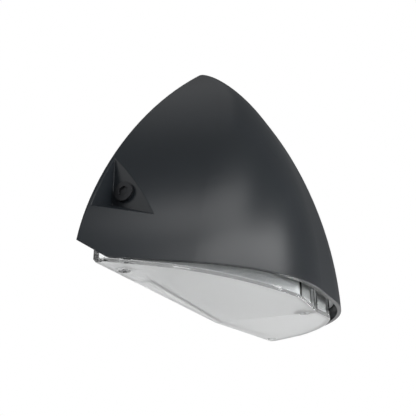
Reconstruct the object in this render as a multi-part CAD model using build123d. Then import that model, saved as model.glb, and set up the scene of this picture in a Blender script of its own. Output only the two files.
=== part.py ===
from build123d import *
import math
import os

# Wall pack light. Millimetres, +Z up. The wall is the plane Y = 0 and the light stands
# out from it towards -Y. The origin is the middle of the wire entry, on the wall.
# level() turns a height above the lower edge of the housing into Z.

# ---- housing: a die-cast dome that comes to a point at the wall
half_width = 165.0          # rim at the wall, at its lowest and widest
height = 223.5              # lower edge to apex
depth = 106.0               # wall to nose, at the lower edge
origin_height = 80.0        # lower edge to the origin
rim_power = 1.543           # how soon the rim narrows towards the apex
profile_power = 1.99        # how soon the nose falls back
profile_bulge = 1.295       # how full the nose line is
corner_share = 0.497        # where flank and front would meet, as a share of the half width
round_share = 0.38          # length of the rounding there, as a share of the half width
housing_wall = 3.0
relief_depth = 14.2         # lower back edge cut back, so that it clears the wall
relief_height = 9.2
outer_levels = [0.0, 0.12, 0.25, 0.38, 0.5, 0.62, 0.73, 0.83, 0.91, 0.96, 0.995]
inner_levels = [0.12, 0.25, 0.38, 0.5, 0.62, 0.73, 0.83, 0.92]

# ---- side pockets for the locking screws
pocket_inset = 33.0         # flat facet of each pocket, in from the widest rim
pocket_ledge = 42.9         # ledge above the lower edge, at the wall
ledge_slope = 0.36          # the ledge sheds water outwards
flange = 1.8                # rim left standing behind the pocket

# ---- hinge at the lower back edge
hinge_y = -9.2
hinge_height = 8.0
hinge_inset = 20.0          # middle of each hinge, in from the end of its channel
pin_radius = 2.5
pin_clearance = 0.06
pin_fit = 0.01
pin_head_radius = 3.6
pin_head_length = 1.6
knuckle_radius = 5.2
knuckle_length = 16.0
ear_thickness = 4.0
side_play = 0.5

# ---- wall plate and its seals
gasket_depth = 3.0
plate_thickness = 3.0
plate_gap = 3.6             # plate edge to the inside of the housing
plate_bottom = 17.0         # above the lower edge
ear_rise = 8.0              # hinge ears run up the plate by this much
seal_gap = 0.4
pad_radius = 15.0
screw_pad_radius = 7.5
pad_gap = 0.6
wire_hole_radius = 11.2     # half-inch trade size
box_spacing = 88.9          # octagon box screws
box_slot_radius = 2.6
box_slot_length = 12.0
lag_radius = 3.4
lag_spacing = (120.0, 96.0) # across and up, about the origin
gasket_band = 14.0

# ---- locking screws and the ears that they clamp
lock_y = -11.2
lock_height = 49.7
lock_head_radius = 6.7
lock_head_length = 2.0
lock_socket_radius = 3.75
lock_socket_depth = 1.4
lock_shank_radius = 3.0
lock_hole_gap = 0.4
lock_washer_radius = 6.1
lock_washer_thickness = 0.6
lock_boss_radius = 4.9      # boss inside the facet, against the ear
lock_ear_thickness = 3.0
lock_ear_gap = 0.4
lock_ear_half = 8.0
lock_ear_reach = 19.0
lock_slot_flare = 3.4       # the screw drops as it leaves the slot
lock_nut_radius = 5.5
lock_nut_length = 5.0
lock_nut_gap = 0.1

# ---- lens
lens_side_inset = 15.0      # side of the skirt, in from the widest rim
lens_nose_inset = 9.6       # front of the skirt, back from the nose
lens_shoulder = 13.0        # wall to the corner where side and flank meet
lens_front_share = 0.24     # length of the front edge, as a share of the width
lens_bow = 12.0             # rise of the flank's arc
lens_gap = 0.8              # least gap to the housing
lens_wall = 3.0
lens_top = 8.0              # top of the skirt above the lower edge
lens_keel = 11.0            # keel below the lower edge
lens_rise = 0.062           # the bottom rises from the keel to the sides
lens_back = 3.0             # back edge to the wall
chamfer_slope = 1.09        # the bottom rises to the wall
chamfer_start = (4.8, 1.3)  # a point of that slope: from the wall, below the lower edge
channel_half = 104.0        # channel for the hinges along the back of the lens
channel_front = 16.0
channel_top = 2.0
screw_back_inset = (34.0, 13.0)     # from the widest rim, and from the wall
screw_nose_inset = 19.4             # back from the nose
post_radius = 4.6
nose_post_radius = 7.6
post_web = 2.4
lens_screw_head = 3.9
lens_screw_head_length = 2.4
lens_screw_shank = 2.0
lens_screw_recess = 0.6
screw_gap = 0.2

# ---- engine plate
engine_thickness = 4.0
engine_gap = 0.6            # plate edge to the housing wall
engine_back = 15.6          # back edge to the wall, between the lens screws
seal_thickness = 1.5
seal_lip = 0.3              # seal in from each face of the skirt
seal_inset = 1.2            # back edge of seal and plate, in front of the lens's back edge
fin_height = 14.0
fin_thickness = 2.4
fin_xs = (84.0, 93.0, 102.0)
fin_back = 20.0
fin_front = 50.0
boss_radius = 4.5
boss_hole_depth = 11.0
boss_back_inset = (49.0, 29.0)      # from the widest rim, and from the wall
boss_front_inset = (38.0, 26.0)     # from the middle, and from the nose
engine_screw_shank = 2.0
engine_screw_head = 3.6
engine_screw_head_length = 2.2
engine_screw_length = 12.0

# ---- light source
reflector_gap = 2.0         # to the skirt of the lens
reflector_thickness = 1.2
reflector_back = 21.0
reflector_lift = 1.0
board_size = (176.0, 18.0, 1.6)
board_y = -35.5
led_side = 3.5
led_height = 0.9
led_columns = 14
led_rows = 2
led_margin = 10.0           # last diode to the end of the board
led_row_pitch = 8.0
optic_margin = 3.0
optic_wall = 1.4
optic_depth = 5.2
window_gap = 0.6
board_screw_inset = 3.5
board_screw_radius = 1.25
board_screw_head = 2.3

# ---- gear on the engine plate
driver_size = (128.0, 34.0, 28.0)
driver_y = -44.0
driver_pad_thickness = 1.0
driver_tab = 11.0
driver_tab_thickness = 2.0
driver_screw_radius = 1.8
driver_screw_head = 3.4
driver_screw_head_length = 2.4
surge_size = (40.0, 16.0, 20.0)
surge_inset = 33.0          # middle, back from the nose
vent_inset = (103.0, 34.0)  # from the widest rim, and back from the nose
vent_radius = 5.5
vent_thread = 4.0
grommet_radius = 5.5
grommet_thread = 4.0
grommet_bore = 2.4

# ---- gear on the wall plate
terminal_size = (40.0, 14.0, 12.0)
terminal_place = (-52.0, 34.0)
terminal_poles = 3
terminal_well = (2.6, 6.0)  # screw wells: radius and depth
terminal_wire = (1.8, 5.0)  # wire holes: radius and depth
terminal_screw = (2.5, 3.0) # radius, and depth of the head below the face
terminal_slot = (0.8, 1.0)  # width and depth
ground_place = (46.0, 30.0)
ground_head = 4.2
ground_head_length = 3.2
ground_radius = 2.0

low = -origin_height
apex = low + height
plate_back = -gasket_depth
plate_front = plate_back - plate_thickness
engine_low = low + lens_top + seal_thickness
engine_top = engine_low + engine_thickness
below = 4 * lens_keel       # cuts reach this far under the housing
beyond = 1.0                # and this far past a face
pocket_x = half_width - pocket_inset
hinge_x = channel_half - hinge_inset
screw_back = (half_width - screw_back_inset[0], -screw_back_inset[1])
screw_nose = (0.0, screw_nose_inset - depth)
engine_bosses = [(half_width - boss_back_inset[0], -boss_back_inset[1]),
                 (boss_front_inset[0], boss_front_inset[1] - depth)]
board_screw_x = board_size[0] / 2 - board_screw_inset
surge_y = surge_inset - depth
vent_place = (half_width - vent_inset[0], vent_inset[1] - depth)
grommet_place = (-vent_place[0], vent_place[1])
lock_ear_x = pocket_x - housing_wall - plate_gap
nut_x = lock_ear_x - lock_ear_thickness - lock_nut_gap - lock_nut_length / 2
far = 2 * height


def level(above_edge):
    return low + above_edge


def rim_half(t):
    """Half width of the rim at a share t of the height."""
    return half_width * (1 - t ** rim_power)


def nose_depth(t):
    """Distance from the wall to the front at a share t of the height."""
    return depth * (1 - t ** profile_power) ** (1 / profile_bulge)


def outline(t, inset=0.0, front_inset=0.0, back=0.0):
    """Plan section of the dome, drawn in by inset: flanks, round corners, short front."""
    w, d = rim_half(t), nose_depth(t)
    angle = math.atan2(d, w * (1 - corner_share))
    half = math.tan(angle / 2)
    wi = w - inset / math.sin(angle)
    di = d - inset - front_inset
    corner = wi - di / math.tan(angle)
    radius = max(round_share * w / half - inset, 1.0)
    run = min(radius * half, corner * 0.92)
    radius = run / half
    start = (corner + run * math.cos(angle), -di + run * math.sin(angle))
    end = (corner - run, -di)
    middle = (end[0] + radius * math.sin(angle / 2), end[1] + radius * (1 - math.cos(angle / 2)))
    foot = (wi, 0.0)

    def other(point):
        return (-point[0], point[1])

    edges = [Edge.make_line(foot, start), Edge.make_three_point_arc(start, middle, end),
             Edge.make_line(end, other(end)),
             Edge.make_three_point_arc(other(end), other(middle), other(start)),
             Edge.make_line(other(start), other(foot))]
    corners = [other(foot), (-wi, back), (wi, back), foot] if back > 0 else [other(foot), foot]
    edges += [Edge.make_line(a, b) for a, b in zip(corners, corners[1:])]
    return Wire(edges)


def at(z, wire):
    return Face(wire).moved(Location((0, 0, z)))


def dome():
    return loft([at(low + t * height, outline(t)) for t in outer_levels])


def dome_inside(wall):
    """Space inside the dome at a distance from its outer face, open to the wall and below."""
    base = at(low - below, outline(0, wall, back=beyond))
    faces = [base.moved(Location((0, 0, below - wall)))]
    faces += [at(low + t * height - wall, outline(t, wall, back=beyond)) for t in inner_levels]
    foot = extrude(base, below - wall, dir=(0, 0, 1))
    return foot + loft(faces)


def box(x0, x1, y0, y1, z0, z1):
    centre = ((x0 + x1) / 2, (y0 + y1) / 2, (z0 + z1) / 2)
    return Location(centre) * Box(abs(x1 - x0), abs(y1 - y0), abs(z1 - z0))


def rod_x(x0, x1, y, z, r):
    return Location(((x0 + x1) / 2, y, z), (0, 90, 0)) * Cylinder(r, abs(x1 - x0))


def rod_y(x, y0, y1, z, r):
    return Location((x, (y0 + y1) / 2, z), (90, 0, 0)) * Cylinder(r, abs(y1 - y0))


def rod_z(x, y, z0, z1, r):
    return Location((x, y, (z0 + z1) / 2)) * Cylinder(r, abs(z1 - z0))


def above_plane(z, y, slope_x, slope_y):
    """Everything above the plane through (0, y, z) with these slopes."""
    plane = Plane(origin=(0, y, z), z_dir=(-slope_x, -slope_y, 1))
    return plane * Box(far * 2, far * 2, far, align=(Align.CENTER, Align.CENTER, Align.MIN))


def column(wire, z0, z1):
    return extrude(at(z0, wire), z1 - z0, dir=(0, 0, 1))


def pairs(points):
    return [(side * x, y) for x, y in points for side in (-1, 1)]


def hex_rod(x, y, z, r, length):
    return Location((x, y, z), (0, 90, 0)) * extrude(RegularPolygon(r, 6), length / 2, both=True)


def save(name, shape):
    pieces = shape if isinstance(shape, list) else [shape]
    solids = [solid for piece in pieces for solid in piece.solids()]
    body = solids[0] if len(solids) == 1 else Compound(children=solids)
    body.label = name
    export_step(body, f"parts/{name}.step")


# ---------------------------------------------------------------- housing

def pocket(side, wall=0.0):
    """Space cut into the side of the dome: flat facet, and a ledge that slopes outwards."""
    inner = pocket_x - wall
    region = box(inner, inner + half_width, -depth, -flange + 2 * wall, low, apex)
    plane = Plane(origin=(pocket_x, 0, level(pocket_ledge) - wall), z_dir=(ledge_slope, -ledge_slope, 1))
    top = plane * Box(far, far, far, align=(Align.CENTER, Align.CENTER, Align.MIN))
    cut = region & top
    return cut if side > 0 else mirror(cut, about=Plane.YZ)


def hollow(wall):
    space = dome_inside(wall)
    for side in (-1, 1):
        space = space - pocket(side, wall)
    return space


def wall_relief():
    """Wedge at the lower back edge, so that the edge clears the wall as the housing swings."""
    corners = [(1, low - 1), (-relief_depth - relief_depth / relief_height, low - 1),
               (0, low + relief_height), (1, low + relief_height)]
    face = Plane.YZ * make_face(Polyline(*corners, close=True))
    return extrude(face, 2 * half_width, both=True)


def housing():
    shell = dome()
    for side in (-1, 1):
        shell = shell - pocket(side)
    shell = shell - hollow(housing_wall)
    bosses = [rod_z(x, y, engine_top, apex, boss_radius) for x, y in pairs(engine_bosses)]
    outer = dome()
    for boss in bosses:
        shell = shell + (boss & outer)
    for x, y in pairs(engine_bosses):
        shell = shell - rod_z(x, y, engine_top - 1, engine_top + boss_hole_depth, engine_screw_shank + 0.1)
    for side in (-1, 1):
        y, z = lock_y, level(lock_height)
        shell = shell + rod_x(side * (lock_ear_x + lock_ear_gap), side * (pocket_x - 1), y, z, lock_boss_radius)
        shell = shell - rod_x(side * (lock_ear_x - 1), side * (pocket_x + 1), y, z,
                              lock_shank_radius + lock_hole_gap)
    return shell - wall_relief()


# ---------------------------------------------------------------- wall plate

def slab(y0, y1):
    return box(-half_width, half_width, y0, y1, level(plate_bottom), apex)


def lag_places():
    across, up = lag_spacing
    return [(x * across / 2, z * up / 2) for x in (-1, 1) for z in (-1, 1)]


def wall_holes():
    holes = [rod_y(0, 1, -20, 0, wire_hole_radius)]
    holes += [rod_y(x, 1, -20, z, lag_radius) for x, z in lag_places()]
    reach = box_slot_length / 2 - box_slot_radius
    for x in (-box_spacing / 2, box_spacing / 2):
        holes += [rod_y(x - reach, 1, -20, 0, box_slot_radius), rod_y(x + reach, 1, -20, 0, box_slot_radius),
                  box(x - reach, x + reach, -20, 1, -box_slot_radius, box_slot_radius)]
    return holes


def pads(extra=0.0):
    """Raised pads that carry the plate on the wall, at its middle and round its holes."""
    places = [(side * box_spacing / 2, 0, screw_pad_radius + 2) for side in (-1, 1)]
    places += [(x, z, screw_pad_radius) for x, z in lag_places()]
    places.append((0, 0, pad_radius))
    return [rod_y(x, 0, plate_back - 0.5, z, r + extra) for x, z, r in places]


def hinge_ears():
    y, z = hinge_y, level(hinge_height)
    start = knuckle_length / 2 + side_play
    ears = []
    for side in (-1, 1):
        for lean in (-1, 1):
            x0 = side * hinge_x + lean * start
            x1 = x0 + lean * ear_thickness
            ears.append(rod_x(x0, x1, y, z, knuckle_radius)
                        + box(x0, x1, y - knuckle_radius, plate_back - 1, z, level(plate_bottom + ear_rise)))
    return ears


def lock_ears():
    """Ears with a slot that opens away from the wall and widens downwards, for the swing."""
    ears = []
    z = level(lock_height)
    radius = lock_shank_radius + lock_hole_gap
    front = -lock_ear_reach - 1
    mouth = Polyline((lock_y, z + radius), (front, z + radius), (front, z - radius - lock_slot_flare),
                     (lock_y, z - radius), close=True)
    mouth = extrude(Plane.YZ * make_face(mouth), half_width, both=True)
    for side in (-1, 1):
        ear = box(side * lock_ear_x, side * (lock_ear_x - lock_ear_thickness), plate_front + 1,
                  -lock_ear_reach, z - lock_ear_half, z + lock_ear_half)
        slot = rod_x(side * (lock_ear_x - 9), side * (lock_ear_x + 3), lock_y, z, radius)
        ears.append(ear - slot - mouth)
    return ears


def wall_plate():
    plate = hollow(housing_wall + plate_gap) & slab(plate_front, plate_back)
    for piece in pads() + hinge_ears() + lock_ears():
        plate = plate + piece
    for hole in wall_holes():
        plate = plate - hole
    for side in (-1, 1):
        plate = plate - rod_x(side * (hinge_x - 30), side * (hinge_x + 30), hinge_y, level(hinge_height),
                              pin_radius + pin_fit)
    x, z = ground_place
    return plate - rod_y(x, 1, -20, z, ground_radius + 0.05)


def wall_gasket():
    inside = housing_wall + plate_gap
    ring = hollow(inside) & slab(plate_back, 0)
    core = hollow(inside + gasket_band) & box(-half_width, half_width, plate_back - 1, 1,
                                              level(plate_bottom) + gasket_band, apex)
    ring = ring - core
    for pad in pads(pad_gap):
        ring = ring - pad
    return ring


def rim_seal():
    outer = hollow(housing_wall + seal_gap) & slab(plate_front, plate_back)
    return outer - hollow(housing_wall + plate_gap)


def hinge_pins():
    reach = knuckle_length / 2 + side_play + ear_thickness
    y, z = hinge_y, level(hinge_height)
    pins = []
    for side in (-1, 1):
        x = side * hinge_x
        shaft = rod_x(x - reach - 1, x + reach + 1, y, z, pin_radius)
        head = rod_x(x + side * (reach + 0.05), x + side * (reach + pin_head_length), y, z, pin_head_radius)
        pins.append(shaft + head)
    return pins


def terminal_block():
    w, d, h = terminal_size
    x, z = terminal_place
    block = box(x - w / 2, x + w / 2, plate_front - d, plate_front, z - h / 2, z + h / 2)
    pitch = w / terminal_poles
    for pole in range(terminal_poles):
        px = x + (pole - (terminal_poles - 1) / 2) * pitch
        radius, deep = terminal_well
        block = block - rod_y(px, plate_front - d - beyond, plate_front - d + deep, z, radius)
        radius, deep = terminal_wire
        block = block - rod_z(px, plate_front - d / 2, z - h / 2 - beyond, z - h / 2 + deep, radius)
    return block


def terminal_screws():
    w, d, h = terminal_size
    x, z = terminal_place
    pitch = w / terminal_poles
    radius, sunk = terminal_screw
    slot_width, slot_depth = terminal_slot
    top = plate_front - d + sunk
    screws = []
    for pole in range(terminal_poles):
        px = x + (pole - (terminal_poles - 1) / 2) * pitch
        screw = rod_y(px, top, plate_front - d + terminal_well[1], z, radius)
        screws.append(screw - box(px - radius - beyond, px + radius + beyond, top - beyond, top + slot_depth,
                                  z - slot_width / 2, z + slot_width / 2))
    return screws


def ground_screw():
    x, z = ground_place
    head = rod_y(x, plate_front - ground_head_length, plate_front, z, ground_head)
    shank = rod_y(x, plate_front - 1, plate_back + 0.5, z, ground_radius)
    slot = box(x - 5, x + 5, plate_front - ground_head_length - 1, plate_front - ground_head_length + 1.2,
               z - 0.6, z + 0.6)
    return head + shank - slot


# ---------------------------------------------------------------- lens

def lens_space(lift=0.0):
    """Everything above the bottom of the lens: two facets that meet in a keel, and the back slope."""
    keel = level(-lens_keel) + lift
    back_y, drop = chamfer_start
    return (above_plane(keel, 0, lens_rise, 0) & above_plane(keel, 0, -lens_rise, 0)
            & above_plane(level(-drop) + lift * 1.5, -back_y, 0, chamfer_slope))


def lens_floor(x):
    return level(-lens_keel) + lens_rise * abs(x)


def lens_plan(extra):
    """The lens in plan, drawn in by extra: straight sides, bowed flanks and a straight front."""
    side, front = half_width - lens_side_inset, depth - lens_nose_inset
    a, b = (side, -lens_shoulder), (side * lens_front_share, -front)
    chord = math.dist(a, b)
    away = ((a[1] - b[1]) / chord, -(a[0] - b[0]) / chord)
    radius = (chord ** 2 / 4 + lens_bow ** 2) / (2 * lens_bow)
    centre = [(a[i] + b[i]) / 2 - away[i] * (radius - lens_bow) for i in (0, 1)]
    side, front, radius = side - extra, front - extra, radius - extra
    a = (side, centre[1] - math.sqrt(radius ** 2 - (side - centre[0]) ** 2))
    b = (centre[0] + math.sqrt(radius ** 2 - (front + centre[1]) ** 2), -front)
    m = (centre[0] + away[0] * radius, centre[1] + away[1] * radius)
    foot = (side, 0.0)

    def other(point):
        return (-point[0], point[1])

    return Wire([Edge.make_line(foot, a), Edge.make_three_point_arc(a, m, b), Edge.make_line(b, other(b)),
                 Edge.make_three_point_arc(other(b), other(m), other(a)), Edge.make_line(other(a), other(foot)),
                 Edge.make_line(other(foot), foot)])


def lens_column(extra, z0, z1):
    """That plan as a column, kept clear of the housing where the two run close."""
    share = (engine_low + housing_wall - low) / height
    room = outline(share, housing_wall + lens_gap + extra)
    return column(lens_plan(extra), z0, z1) & column(room, z0, z1)


def lens_posts():
    return [(x, y, post_radius) for x, y in pairs([screw_back])] + [(*screw_nose, nose_post_radius)]


def post_webs(z0, z1):
    """Webs that tie the two rear posts to the back edge of the skirt."""
    return [box(x - post_web / 2, x + post_web / 2, y, -lens_back - lens_wall / 2, z0, z1)
            for x, y in pairs([screw_back])]


def behind(distance, half=far):
    """Everything nearer to the wall than this, over this half width."""
    return box(-half, half, -distance, far, low - below, apex)


def lens():
    bottom = level(-lens_keel) - beyond
    space = lens_space()
    body = (lens_column(0, bottom, level(lens_top)) & space) - behind(lens_back)
    cavity = lens_column(lens_wall, bottom, level(lens_top) + beyond) & lens_space(lens_wall)
    cavity = cavity - behind(lens_back + lens_wall)
    rib = behind(channel_front + lens_wall, channel_half + lens_wall) - behind(channel_front, channel_half)
    body = body - (cavity - rib)
    body = body - box(-channel_half, channel_half, -channel_front, far, level(channel_top), apex)
    for x, y, r in lens_posts():
        body = body + (rod_z(x, y, bottom, level(lens_top), r) & space)
    for web in post_webs(bottom, level(lens_top)):
        body = body + (web & space)
    for x, y, r in lens_posts():
        body = body - rod_z(x, y, bottom - beyond, apex, lens_screw_shank + screw_gap)
        seat = lens_floor(x) + lens_screw_recess + lens_screw_head_length
        body = body - rod_z(x, y, bottom - beyond, seat, lens_screw_head + screw_gap)
    return body


def lens_screws():
    screws = []
    for x, y, r in lens_posts():
        seat = lens_floor(x) + lens_screw_recess + lens_screw_head_length
        head = rod_z(x, y, seat - lens_screw_head_length, seat, lens_screw_head)
        for turn in (0, 90):
            cross = Location((x, y, seat - lens_screw_head_length), (0, 0, turn)) * Box(4.6, 1.0, 2.2)
            head = head - cross
        screws.append(head + rod_z(x, y, seat - 0.5, engine_top - 0.5, lens_screw_shank))
    return screws


def lens_gasket():
    z0, z1 = level(lens_top), engine_low
    ring = lens_column(seal_lip, z0, z1) - behind(lens_back + seal_inset)
    ring = ring - behind(channel_front + seal_lip, channel_half + seal_lip)
    inner = lens_wall - seal_lip
    hole = lens_column(inner, z0 - beyond, z1 + beyond) - behind(lens_back + inner)
    ring = ring - (hole - behind(channel_front + inner, channel_half + inner))
    for web in post_webs(z0, z1):
        ring = ring + web
    for x, y, r in lens_posts():
        ring = ring + (rod_z(x, y, z0, z1, r) & lens_column(seal_lip, z0, z1))
        ring = ring - rod_z(x, y, z0 - beyond, z1 + beyond, lens_screw_shank + screw_gap)
    return ring


# ---------------------------------------------------------------- engine plate and light source

def engine_plate():
    share = (engine_top + housing_wall - low) / height
    plate = column(outline(share, housing_wall + engine_gap), engine_low, engine_top)
    plate = plate - behind(lens_back + seal_inset) - behind(engine_back, channel_half)
    y, z = hinge_y, level(hinge_height)
    for side in (-1, 1):
        x0, x1 = side * hinge_x - knuckle_length / 2, side * hinge_x + knuckle_length / 2
        plate = plate + rod_x(x0, x1, y, z, knuckle_radius)
        plate = plate + box(x0, x1, -engine_back - 6, y, engine_low, engine_top)
        plate = plate - rod_x(x0 - 1, x1 + 1, y, z, pin_radius + pin_clearance)
        for fin_x in fin_xs:
            x = side * fin_x
            plate = plate + box(x - fin_thickness / 2, x + fin_thickness / 2, -fin_front, -fin_back,
                                engine_top - 1, engine_top + fin_height)
    for x, y in pairs(engine_bosses):
        plate = plate - rod_z(x, y, engine_low - 1, engine_top + 1, engine_screw_shank + screw_gap)
    for x, y, r in lens_posts():
        plate = plate - rod_z(x, y, engine_low - 1, engine_top - 0.4, lens_screw_shank + 0.05)
    for x, y in driver_screw_places():
        plate = plate - rod_z(x, y, engine_low + 0.5, engine_top + 1, driver_screw_radius + 0.05)
    for x, y in board_screw_places():
        plate = plate - rod_z(x, y, engine_low - 1, engine_top - 0.5, board_screw_radius + 0.05)
    plate = plate - rod_z(*vent_place, engine_low - 1, engine_top + 1, vent_thread + 0.05)
    return plate - rod_z(*grommet_place, engine_low - 1, engine_top + 1, grommet_thread + 0.05)


def engine_plate_screws():
    screws = []
    z = engine_low - reflector_thickness
    for x, y in pairs(engine_bosses):
        head = rod_z(x, y, z - engine_screw_head_length, z, engine_screw_head)
        for turn in (0, 90):
            head = head - Location((x, y, z - engine_screw_head_length), (0, 0, turn)) * Box(4.2, 0.9, 2.0)
        screws.append(head + rod_z(x, y, z - 0.5, z + engine_screw_length, engine_screw_shank))
    return screws


def reflector():
    top, inner_top = engine_low, engine_low - reflector_thickness
    bottom = level(-lens_keel)
    region = lens_space(lens_wall + reflector_lift)
    outer = lens_wall + reflector_gap
    tray = (lens_column(outer, bottom, top) & region) - behind(reflector_back)
    inner = lens_column(outer + reflector_thickness, bottom - beyond, inner_top)
    tray = tray - (inner - behind(reflector_back + reflector_thickness))
    w, d = board_size[0] / 2 + window_gap, board_size[1] / 2 + window_gap
    tray = tray - box(-w, w, board_y - d, board_y + d, bottom, top + 1)
    for x, y, r in lens_posts():
        tray = tray - rod_z(x, y, bottom - 1, top + 1, r + 0.8)
    for x, y in pairs(engine_bosses):
        tray = tray - rod_z(x, y, bottom - 1, top + 1, engine_screw_shank + screw_gap)
    for x, y in board_screw_places():
        tray = tray - rod_z(x, y, bottom - 1, top + 1, board_screw_head + screw_gap)
    for place, r in ((vent_place, vent_thread), (grommet_place, grommet_thread)):
        tray = tray - rod_z(*place, bottom - 1, top + 1, r + 1)
    return tray


def board_screw_places():
    return [(side * board_screw_x, board_y) for side in (-1, 1)]


def led_board():
    w, d, h = board_size
    board = box(-w / 2, w / 2, board_y - d / 2, board_y + d / 2, engine_low - h, engine_low)
    for x, y in board_screw_places():
        board = board - rod_z(x, y, engine_low - h - 1, engine_low + 1, board_screw_radius + screw_gap)
    return board


def board_screws():
    z = engine_low - board_size[2]
    return [rod_z(x, y, z - 1.4, z, board_screw_head) + rod_z(x, y, z - 0.5, engine_top - 1, board_screw_radius)
            for x, y in board_screw_places()]


def led_packages():
    z = engine_low - board_size[2]
    pitch = (board_size[0] - 2 * led_margin) / (led_columns - 1)
    leds = []
    for place in range(led_columns):
        for row in range(led_rows):
            x = (place - (led_columns - 1) / 2) * pitch
            y = board_y + (row - (led_rows - 1) / 2) * led_row_pitch
            base = box(x - led_side / 2, x + led_side / 2, y - led_side / 2, y + led_side / 2, z - led_height, z)
            leds.append(base + (Location((x, y, z - led_height)) * Sphere(led_side * 0.4)
                                & box(x - 5, x + 5, y - 5, y + 5, z - 5, z - led_height / 2)))
    return leds


def optic_cover():
    w, d = board_size[0] / 2 + optic_margin, board_size[1] / 2 + optic_margin
    top = engine_low - reflector_thickness
    shell = box(-w, w, board_y - d, board_y + d, top - optic_depth, top)
    shell = fillet(shell.edges().filter_by(Axis.X).group_by(Axis.Z)[0], 2.4)
    room = box(-w + optic_wall, w - optic_wall, board_y - d + optic_wall, board_y + d - optic_wall,
               top - optic_depth + optic_wall, top + 1)
    return shell - room


# ---------------------------------------------------------------- driver and small gear

def driver_screw_places():
    return pairs([(driver_size[0] / 2 + driver_tab / 2, driver_y)])


def driver_pad():
    w, d, h = driver_size
    return box(-w / 2, w / 2, driver_y - d / 2, driver_y + d / 2, engine_top, engine_top + driver_pad_thickness)


def driver_case():
    w, d, h = driver_size
    z = engine_top + driver_pad_thickness
    case = box(-w / 2, w / 2, driver_y - d / 2, driver_y + d / 2, z, z + h)
    case = fillet(case.edges().filter_by(Axis.X).group_by(Axis.Z)[-1], 3)
    for side in (-1, 1):
        case = case + box(side * (w / 2 - 1), side * (w / 2 + driver_tab), driver_y - 9, driver_y + 9,
                          z, z + driver_tab_thickness)
    for x, y in driver_screw_places():
        case = case - rod_z(x, y, z - 1, z + driver_tab_thickness + 1, driver_screw_radius + screw_gap)
    return case


def driver_screws():
    z = engine_top + driver_pad_thickness + driver_tab_thickness
    return [rod_z(x, y, z, z + driver_screw_head_length, driver_screw_head)
            + rod_z(x, y, engine_low + 1, z + 0.5, driver_screw_radius) for x, y in driver_screw_places()]


def surge_module():
    w, d, h = surge_size
    body = box(-w / 2, w / 2, surge_y - d / 2, surge_y + d / 2, engine_top, engine_top + h)
    return fillet(body.edges().filter_by(Axis.Z), 3)


def breather_vent():
    x, y = vent_place
    cap = rod_z(x, y, engine_top, engine_top + 4, vent_radius)
    return cap + rod_z(x, y, engine_low, engine_top + 1, vent_thread)


def lead_grommet():
    x, y = grommet_place
    ring = rod_z(x, y, engine_top, engine_top + 2.4, grommet_radius)
    ring = ring + rod_z(x, y, engine_low, engine_top + 1, grommet_thread)
    return ring - rod_z(x, y, engine_low - 1, engine_top + 4, grommet_bore)


# ---------------------------------------------------------------- locking screws

def lock_screw(side):
    y, z = lock_y, level(lock_height)
    face = pocket_x + lock_washer_thickness
    inner = nut_x - lock_nut_length / 2 - 1
    head = rod_x(side * face, side * (face + lock_head_length), y, z, lock_head_radius)
    socket = hex_rod(side * (face + lock_head_length), y, z, lock_socket_radius, 2 * lock_socket_depth)
    return head - socket + rod_x(side * inner, side * (face + 0.5), y, z, lock_shank_radius)


def lock_washers():
    z = level(lock_height)
    return [rod_x(side * pocket_x, side * (pocket_x + lock_washer_thickness), lock_y, z, lock_washer_radius)
            - rod_x(side * (pocket_x - 1), side * (pocket_x + 3), lock_y, z, lock_shank_radius + 0.1)
            for side in (-1, 1)]


def lock_nuts():
    y, z = lock_y, level(lock_height)
    nuts = []
    for side in (-1, 1):
        middle = side * nut_x
        nut = hex_rod(middle, y, z, lock_nut_radius, lock_nut_length)
        nuts.append(nut - rod_x(middle - 9, middle + 9, y, z, lock_shank_radius + 0.02))
    return nuts


os.makedirs("parts", exist_ok=True)
save("housing", housing())
save("wall_plate", wall_plate())
save("wall_gasket", wall_gasket())
save("rim_seal", rim_seal())
save("hinge_pins", hinge_pins())
save("terminal_block", terminal_block())
save("terminal_screws", terminal_screws())
save("ground_screw", ground_screw())
save("lens", lens())
save("lens_screws", lens_screws())
save("lens_gasket", lens_gasket())
save("engine_plate", engine_plate())
save("engine_plate_screws", engine_plate_screws())
save("reflector", reflector())
save("led_board", led_board())
save("board_screws", board_screws())
save("led_packages", led_packages())
save("optic_cover", optic_cover())
save("driver_case", driver_case())
save("driver_pad", driver_pad())
save("driver_screws", driver_screws())
save("surge_module", surge_module())
save("breather_vent", breather_vent())
save("lead_grommet", lead_grommet())
save("lock_screw_left", lock_screw(-1))
save("lock_screw_right", lock_screw(1))
save("lock_washers", lock_washers())
save("lock_nuts", lock_nuts())
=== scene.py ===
# %% [markdown]
# # A wall pack light, dressed from its CAD model
# A wall pack is the floodlight over a back door: a cast dome that keeps the rain off, and a
# clear lens underneath that lets the light out. The CAD model already has every piece in its
# place, so this lesson spends its time on what the eye sees: powder coat, moulded
# polycarbonate, brushed sheet and the steel of small screws.

# %% Load the frame
import math
import bpy
from mathutils import Euler, Matrix, Vector


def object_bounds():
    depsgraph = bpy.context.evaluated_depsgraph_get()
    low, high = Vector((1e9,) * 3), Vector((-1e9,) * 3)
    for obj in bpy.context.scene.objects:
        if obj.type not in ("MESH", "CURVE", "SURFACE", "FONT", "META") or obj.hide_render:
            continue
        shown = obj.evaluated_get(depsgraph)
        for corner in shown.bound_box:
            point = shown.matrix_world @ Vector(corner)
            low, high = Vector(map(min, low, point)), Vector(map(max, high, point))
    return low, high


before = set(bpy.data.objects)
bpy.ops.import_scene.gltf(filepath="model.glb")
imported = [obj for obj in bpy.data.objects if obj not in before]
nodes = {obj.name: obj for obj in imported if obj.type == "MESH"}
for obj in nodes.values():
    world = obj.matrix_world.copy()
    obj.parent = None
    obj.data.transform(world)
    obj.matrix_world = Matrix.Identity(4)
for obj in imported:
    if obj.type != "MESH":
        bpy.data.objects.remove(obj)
cad_low, cad_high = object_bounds()
print("pieces:", len(nodes), "size in mm:", [round(1000 * (b - a)) for a, b in zip(cad_low, cad_high)])

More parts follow.
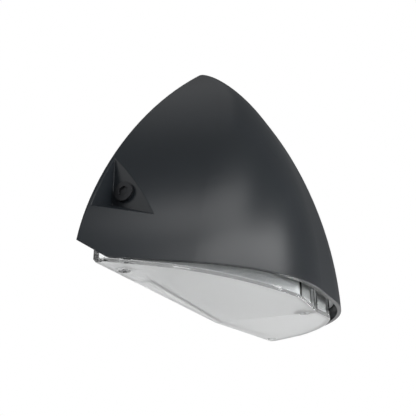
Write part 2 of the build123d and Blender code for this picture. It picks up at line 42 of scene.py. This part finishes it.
# %% [markdown]
# ## The camera
# The photographer stood close, to the left of the light and below it, and looked up. Strong
# perspective like that can't be set by eye. The place below was solved from where the rim,
# the apex and the corners of the lens fall in the picture, and then written in round numbers.

# %% Camera
picture_side = 416                      # pixels, a square picture
focal_length = 618.0                    # pixels
camera_place = (-0.4401, -0.2180, -0.1894)
heading, pitch, roll = 64.44, 21.97, -0.10   # degrees: from +Y towards +X, up, and tilt

scene = bpy.context.scene
scene.view_settings.view_transform = "Standard"
camera = bpy.data.objects.new("camera", bpy.data.cameras.new("camera"))
scene.collection.objects.link(camera)
camera.data.sensor_width = 36
camera.data.lens = focal_length * camera.data.sensor_width / picture_side
camera.data.clip_start = 0.01
camera.location = camera_place
turn = Euler((math.radians(90 + pitch), 0, math.radians(-heading))).to_matrix()
camera.rotation_euler = (turn @ Matrix.Rotation(math.radians(roll), 3, "Z")).to_euler()
scene.camera = camera
print("lens in mm:", round(camera.data.lens, 2))

# %% [markdown]
# ## A white studio with dark drapes
# The picture is cut out on pure white, yet the coat is a deep grey with hardly any white
# mirrored in it. A photographer gets that with a white sweep under and behind the light and
# dark drapes above it. So the world plays three parts. To the camera and through the glass it
# is white. In mirrors it is white below the horizon and turns to dim drapes above. As a lamp
# it is an even grey, which leaves room for the softboxes to draw the shape.

# %% Colours and nodes
def linear(code):
    """An sRGB hex colour as linear red, green, blue and alpha."""
    channels = [int(code[i:i + 2], 16) / 255 for i in (1, 3, 5)]
    return [c / 12.92 if c <= 0.04045 else ((c + 0.055) / 1.055) ** 2.4 for c in channels] + [1.0]


def add(tree, kind, sockets=None, **settings):
    """A new node. Sockets take a number, a colour, or another node's output to link."""
    made = tree.nodes.new(kind)
    for name, value in settings.items():
        setattr(made, name, value)
    for name, value in (sockets or {}).items():
        if isinstance(value, bpy.types.NodeSocket):
            tree.links.new(value, made.inputs[name])
        else:
            made.inputs[name].default_value = value
    return made


# %% World
room_light = 0.75                       # how bright the room is as a lamp
drape_light = 0.15                      # how bright the drapes look in a mirror
drapes_start, drapes_full = -0.05, 0.12      # sine of the angle above the horizon


def not_a_lamp(tree):
    """1 for a ray that looks at the surroundings (seen, mirrored or through glass), else 0."""
    rays = add(tree, "ShaderNodeLightPath")
    seen = add(tree, "ShaderNodeMath", {0: rays.outputs["Is Camera Ray"], 1: rays.outputs["Is Glossy Ray"]},
               operation="ADD")
    seen = add(tree, "ShaderNodeMath", {0: seen.outputs[0], 1: rays.outputs["Is Transmission Ray"]},
               operation="ADD", use_clamp=True)
    return seen.outputs[0]


world = bpy.data.worlds.new("white studio")
scene.world = world
world.use_nodes = True
tree = world.node_tree
tree.nodes.clear()
rays = add(tree, "ShaderNodeLightPath")
direction = add(tree, "ShaderNodeTexCoord").outputs["Generated"]
up = add(tree, "ShaderNodeSeparateXYZ", {0: direction}).outputs["Z"]
drapes = add(tree, "ShaderNodeMapRange", {"Value": up, "From Min": drapes_start, "From Max": drapes_full,
                                          "To Min": 1.0, "To Max": drape_light}).outputs["Result"]
bare = add(tree, "ShaderNodeMath", {0: rays.outputs["Is Camera Ray"], 1: rays.outputs["Is Transmission Ray"]},
           operation="MAXIMUM")
brightness = add(tree, "ShaderNodeMix", {0: bare.outputs[0], 2: drapes, 3: 1.0}, data_type="FLOAT").outputs[0]
lamp = add(tree, "ShaderNodeBackground", {"Color": linear("#f4f6f8"), "Strength": room_light})
white = add(tree, "ShaderNodeBackground", {"Color": linear("#ffffff"), "Strength": brightness})
both = add(tree, "ShaderNodeMixShader", {0: not_a_lamp(tree), 1: lamp.outputs[0], 2: white.outputs[0]})
add(tree, "ShaderNodeOutputWorld", {"Surface": both.outputs[0]})
print("world nodes:", len(tree.nodes))

# %% [markdown]
# ## The floor
# The camera looks up and never sees the floor, but the lens does: its facets mirror it, and
# the sheet behind the skirt is bright only because of it. Seen, mirrored or through glass the
# paper is pure white. To every other ray it is paper, which keeps the shadow.

# %% Floor
floor_drop = 0.16                       # below the lens, clear of the camera
floor_half = 3.0                        # from its middle to each side, in metres
floor_z = min(cad_low[2], camera_place[2]) - floor_drop
corners = [(x * floor_half, y * floor_half, floor_z) for x, y in ((-1, -1), (1, -1), (1, 1), (-1, 1))]
mesh = bpy.data.meshes.new("floor")
mesh.from_pydata(corners, [], [(0, 1, 2, 3)])
floor = bpy.data.objects.new("floor", mesh)
scene.collection.objects.link(floor)
paper = bpy.data.materials.new("white paper floor")
paper.use_nodes = True
tree = paper.node_tree
matte = tree.nodes["Principled BSDF"]
matte.inputs["Base Color"].default_value = linear("#f2f2f1")
matte.inputs["Roughness"].default_value = 0.9
glow = add(tree, "ShaderNodeEmission", {"Color": linear("#ffffff"), "Strength": 1.0})
both = add(tree, "ShaderNodeMixShader", {0: not_a_lamp(tree), 1: matte.outputs[0], 2: glow.outputs[0]})
tree.links.new(both.outputs[0], tree.nodes["Material Output"].inputs["Surface"])
floor.data.materials.append(paper)
print("floor at", round(floor_z, 3), "m")

# %% [markdown]
# ## Softboxes
# A satin black dome shows its lamps more than its colour. In the picture one broad, soft glow
# sits on the lower front, fades upwards and stops short of both sides. Mirroring the camera's
# view in the dome at the edges of that glow says where its lamp stands: straight in front and
# a little above, with a weaker one over its left half. Two low lamps rake the underside. The
# one on the right is the stronger, and that is what sets the two facets of the lens apart.
# The lamp at the left side is there for the flat face of the pocket, and the one at the top
# keeps the apex from going black. All of them are turned towards the middle of the light.

# %% Lamps
middle = Vector((0.0, -0.05, 0.0))


def softbox(name, place, width, tall, watts):
    """A white rectangular lamp. Its place and sides are in metres."""
    data = bpy.data.lights.new(name, "AREA")
    data.shape, data.size, data.size_y, data.energy = "RECTANGLE", width, tall, watts
    made = bpy.data.objects.new(name, data)
    scene.collection.objects.link(made)
    made.location = place
    made.rotation_euler = (middle - Vector(place)).to_track_quat("-Z", "Y").to_euler()


softbox("front glow", (-0.16, -0.92, 0.36), 1.22, 0.36, 7.2)
softbox("upper glow", (-0.40, -0.76, 0.84), 0.8, 0.4, 3.4)
softbox("low left", (-0.45, -0.95, -0.17), 1.0, 0.22, 1.6)
softbox("low right", (0.75, -0.85, -0.25), 0.9, 0.3, 12.0)
softbox("left side", (-1.10, 0.60, 0.50), 0.7, 0.7, 1.8)
softbox("top", (0.30, 0.15, 1.50), 0.8, 0.8, 0.4)

# %% [markdown]
# ## Shading the CAD pieces
# CAD surfaces come over as flat triangles. Smooth shading with hard creases kept brings back
# the curves and leaves the machined edges crisp. Nothing made in a tool is knife sharp, so the
# materials below also round the edges a little, in the shading alone: the bright line along
# an edge is what tells the eye that a thing is real.

# %% Smooth shading
crease = math.radians(28)
for piece in nodes.values():
    piece.data.polygons.foreach_set("use_smooth", [True] * len(piece.data.polygons))
    piece.data.set_sharp_from_angle(angle=crease)
print("smoothed", len(nodes), "pieces")


# %% [markdown]
# ## Pattern sizes
# Every grain below is given in real millimetres. Object coordinates are in metres, so a
# pattern that repeats every so many millimetres has a scale of 1000 over that.

# %% Material helpers
def per_metre(millimetres):
    return 1000.0 / millimetres


def new_material(name):
    made = bpy.data.materials.new(name)
    made.use_nodes = True
    tree = made.node_tree
    tree.nodes.clear()
    shader = add(tree, "ShaderNodeBsdfPrincipled")
    add(tree, "ShaderNodeOutputMaterial", {"Surface": shader.outputs[0]})
    place = add(tree, "ShaderNodeTexCoord").outputs["Object"]
    return made, tree, shader, place


def noise(tree, place, millimetres, detail=3.0):
    return add(tree, "ShaderNodeTexNoise", {"Vector": place, "Scale": per_metre(millimetres),
                                            "Detail": detail}).outputs["Fac"]


def blend_colours(tree, amount, first, second):
    made = add(tree, "ShaderNodeMix", {0: amount, 6: linear(first), 7: linear(second)}, data_type="RGBA")
    return made.outputs[2]


def remap(tree, value, low, high):
    return add(tree, "ShaderNodeMapRange", {"Value": value, "To Min": low, "To Max": high}).outputs["Result"]


def set_inputs(tree, shader, **values):
    """Sets or links the shader's sockets. Underscores in names stand for spaces."""
    for name, value in values.items():
        socket = shader.inputs[name.replace("_", " ")]
        if isinstance(value, bpy.types.NodeSocket):
            tree.links.new(value, socket)
        else:
            socket.default_value = value


def bump(tree, height, depth_mm, strength=1.0, edge_mm=0.3):
    """Fine relief over edges that are rounded to the given radius."""
    edge = add(tree, "ShaderNodeBevel", {"Radius": edge_mm / 1000}, samples=6).outputs["Normal"]
    sockets = {"Height": height, "Distance": depth_mm / 1000, "Strength": strength, "Normal": edge}
    return add(tree, "ShaderNodeBump", sockets).outputs["Normal"]


def dress(material, *names):
    for name in names:
        nodes[name].data.materials.clear()
        nodes[name].data.materials.append(material)
    print(material.name, "on", ", ".join(names))


# %% [markdown]
# ## Powder coat on die-cast aluminium
# The dome is cast in aluminium, then dusted with polyester powder and baked. The powder melts
# into a satin skin with a faint orange peel, a plastic resin with an IOR near 1.5. The peel's
# bumps are 1.6 mm apart and two hundredths of a millimetre high, and the colour drifts a
# little over 70 mm. The pigment mutes the shine, so the specular level is below the usual 0.5.

# %% Graphite powder coat
peel_mm = 1.6
drift_mm = 70.0
graphite, tree, shader, place = new_material("graphite polyester powder coat, baked")
drift = noise(tree, place, drift_mm)
peel = noise(tree, place, peel_mm, detail=2.0)
set_inputs(tree, shader, Base_Color=blend_colours(tree, drift, "#15181b", "#1b1f23"),
           Roughness=remap(tree, peel, 0.29, 0.34), IOR=1.5, Specular_IOR_Level=0.33,
           Normal=bump(tree, peel, 0.02, 0.5, edge_mm=0.8))
dress(graphite, "housing")

# %% [markdown]
# ## Clear polycarbonate
# The lens is one injection moulding in UV-stable polycarbonate, IOR 1.585. Its skirt is
# polished in the tool and shows the metal behind it. The underside is lightly frosted in the
# tool so that the row of diodes doesn't glare, and that makes it pale and even. One material
# does both: a mask made from which way the surface faces turns up the roughness and scatters
# part of the light in the skin. The melt's flow leaves faint waves, 18 mm apart.

# %% Polycarbonate
frost_starts, frost_full = -0.55, -0.85      # Z of the surface's normal: -1 looks straight down
wave_mm = 18.0
tint_mm = 35.0
clear, tree, shader, place = new_material("clear polycarbonate, moulded")
normal = add(tree, "ShaderNodeTexCoord").outputs["Normal"]
facing = add(tree, "ShaderNodeSeparateXYZ", {0: normal}).outputs["Z"]
underside = add(tree, "ShaderNodeMapRange", {"Value": facing, "From Min": frost_starts,
                                             "From Max": frost_full}).outputs["Result"]
tint = noise(tree, place, tint_mm)
set_inputs(tree, shader, Base_Color=blend_colours(tree, tint, "#f7f8f8", "#fdfefe"),
           Roughness=remap(tree, underside, 0.03, 0.4), IOR=1.585,
           Transmission_Weight=remap(tree, underside, 1.0, 0.82),
           Normal=bump(tree, noise(tree, place, wave_mm), 0.05, 0.3, edge_mm=1.0))
dress(clear, "lens")

# %% [markdown]
# ## Brushed aluminium
# The reflector pan is folded from aluminium sheet that was brushed along its length. Brushing
# leaves fine parallel scratches, so the sheet is smooth along them and rough across, and a
# highlight stretches into streaks. That spread across the scratches is also what lets the
# upright sides pick up the white floor. Real scratches are a tenth of a millimetre apart. Here
# they are drawn near one millimetre apart so that they survive at this picture size. The
# tangent runs round the tray, and a quarter turn of the anisotropy puts the rough way upright.

# %% Reflector sheet
scratch_mm = 1.1
scratch_long_mm = 60.0
sheet, tree, shader, place = new_material("aluminium sheet, brushed")
stretched = add(tree, "ShaderNodeMapping", {"Vector": place, "Scale": (
    per_metre(scratch_long_mm), per_metre(scratch_long_mm), per_metre(scratch_mm))}).outputs[0]
scratches = add(tree, "ShaderNodeTexNoise", {"Vector": stretched, "Scale": 1.0, "Detail": 4.0}).outputs["Fac"]
set_inputs(tree, shader, Base_Color=blend_colours(tree, scratches, "#dcdedf", "#f4f5f5"), Metallic=1.0,
           Roughness=remap(tree, scratches, 0.55, 0.7), Anisotropic=0.8, Anisotropic_Rotation=0.25,
           Tangent=add(tree, "ShaderNodeTangent", direction_type="RADIAL", axis="Z").outputs[0],
           Normal=bump(tree, scratches, 0.03, 0.5))
dress(sheet, "reflector")

# %% [markdown]
# ## Bare cast aluminium
# The plate that carries the diodes stays uncoated, because it has to shed heat. Castings come
# out of a tumbler full of ceramic chips with a dull, finely pitted skin.

# %% Cast aluminium
pit_mm = 1.8
cast, tree, shader, place = new_material("aluminium, die-cast and tumbled")
grain = noise(tree, place, pit_mm)
set_inputs(tree, shader, Base_Color=blend_colours(tree, grain, "#a9abac", "#bdbfbf"), Metallic=1.0,
           Roughness=remap(tree, grain, 0.4, 0.55), Normal=bump(tree, grain, 0.04, 0.6))
dress(cast, "engine_plate")

# %% [markdown]
# ## Galvanised steel
# The wall plate is punched from steel sheet that was dipped in zinc. The zinc freezes into
# crystals some 8 mm across, each catching the light a little differently.

# %% Zinc-dipped steel
spangle_mm = 8.0
zinc, tree, shader, place = new_material("steel sheet, galvanised")
spangles = add(tree, "ShaderNodeTexVoronoi", {"Vector": place, "Scale": per_metre(spangle_mm)})
spangles = add(tree, "ShaderNodeSeparateXYZ", {0: spangles.outputs["Color"]}).outputs[0]
set_inputs(tree, shader, Base_Color=blend_colours(tree, spangles, "#a2a6a8", "#c0c4c6"), Metallic=1.0,
           Roughness=remap(tree, spangles, 0.32, 0.5))
dress(zinc, "wall_plate")


# %% [markdown]
# ## Steel fasteners
# Screws and pins are turned or rolled from bar, so all of them have the same fine tool marks
# and differ in finish. Stainless is left bright. The locking screws are blackened in hot oil
# to go with the coat, and a film of oxide that thick is only partly metallic to the eye. The
# ground screw is dyed green, as electricians expect.

# %% Turned steel
tool_mark_mm = 0.9


def turned_steel(name, dark, light, low, high, metallic=1.0):
    """Two colours that the marks run between, and the lowest and highest roughness."""
    made, tree, shader, place = new_material(name)
    lathe = noise(tree, place, tool_mark_mm, detail=2.0)
    set_inputs(tree, shader, Base_Color=blend_colours(tree, lathe, dark, light), Metallic=metallic,
               Roughness=remap(tree, lathe, low, high), Normal=bump(tree, lathe, 0.01, 0.4))
    return made


dress(turned_steel("stainless steel, turned", "#b4b5b6", "#d0d1d2", 0.22, 0.36),
      "hinge_pins", "terminal_screws", "engine_plate_screws", "board_screws", "driver_screws", "lock_nuts",
      "lens_screws")
dress(turned_steel("steel, blackened in hot oil", "#1a1b1d", "#2a2b2e", 0.34, 0.48, metallic=0.6),
      "lock_screw_left", "lock_screw_right")
dress(turned_steel("steel, green zinc plate", "#2c7a3d", "#3f9650", 0.3, 0.42, metallic=0.7), "ground_screw")


# %% [markdown]
# ## Rubber, foam and plastics
# Gaskets are matte and soft. The closed-cell foam behind the plate has visible pores, and the
# extruded seals have a dry bloom. The lens's own seal is undyed silicone, so that it doesn't
# draw a black line behind the clear skirt. The small moulded parts differ mostly in gloss.

# %% Matte and moulded pieces
def moulded(name, dark, light, grain_mm, depth_mm, low, high, ior=1.5):
    """Two colours, the grain's size and depth, and the lowest and highest roughness."""
    made, tree, shader, place = new_material(name)
    grain = noise(tree, place, grain_mm)
    set_inputs(tree, shader, Base_Color=blend_colours(tree, grain, dark, light), IOR=ior,
               Roughness=remap(tree, grain, low, high), Normal=bump(tree, grain, depth_mm, 0.7))
    return made


dress(moulded("closed-cell foam, die-cut", "#1c1c1e", "#2b2b2e", 1.5, 0.2, 0.8, 0.95), "wall_gasket")
dress(moulded("silicone rubber, extruded", "#141415", "#1f1f21", 2.0, 0.05, 0.6, 0.75, 1.41),
      "rim_seal", "lead_grommet", "lock_washers")
dress(moulded("silicone rubber, natural", "#c9ccca", "#dcdedc", 2.0, 0.05, 0.5, 0.65, 1.41), "lens_gasket")
dress(moulded("nylon, natural, moulded", "#d9d1b8", "#e4ddc8", 1.5, 0.03, 0.4, 0.55, 1.53), "terminal_block")
dress(moulded("nylon, black, moulded", "#151516", "#1e1e20", 1.2, 0.03, 0.4, 0.55, 1.53), "breather_vent")
dress(moulded("epoxy board, white solder mask", "#e9e9e4", "#f3f3ef", 3.0, 0.01, 0.3, 0.4, 1.55), "led_board")
dress(moulded("silicone phosphor dome", "#e8c650", "#f2d774", 0.8, 0.01, 0.2, 0.3, 1.41), "led_packages")
dress(moulded("steel case, grey enamel", "#a5a8aa", "#b0b3b5", 2.2, 0.02, 0.4, 0.5), "driver_case")
dress(moulded("thermal pad, filled silicone", "#7e97a3", "#8ba4b0", 1.0, 0.05, 0.7, 0.85, 1.41), "driver_pad")
dress(moulded("ABS, dark grey, moulded", "#3d4044", "#484b50", 1.4, 0.04, 0.45, 0.6, 1.54), "surge_module")

# %% [markdown]
# ## Frosted acrylic
# The strip over the diodes is acrylic with a fine milky filler, IOR 1.49. It passes about half
# of the light straight through and scatters the rest, so the diodes melt into one soft band.

# %% Acrylic strip
haze_mm = 2.5
frosted, tree, shader, place = new_material("acrylic strip, frosted")
haze = noise(tree, place, haze_mm)
set_inputs(tree, shader, Base_Color=blend_colours(tree, haze, "#eef0ef", "#f8f9f8"), IOR=1.49,
           Roughness=remap(tree, haze, 0.45, 0.6), Transmission_Weight=0.55)
dress(frosted, "optic_cover")
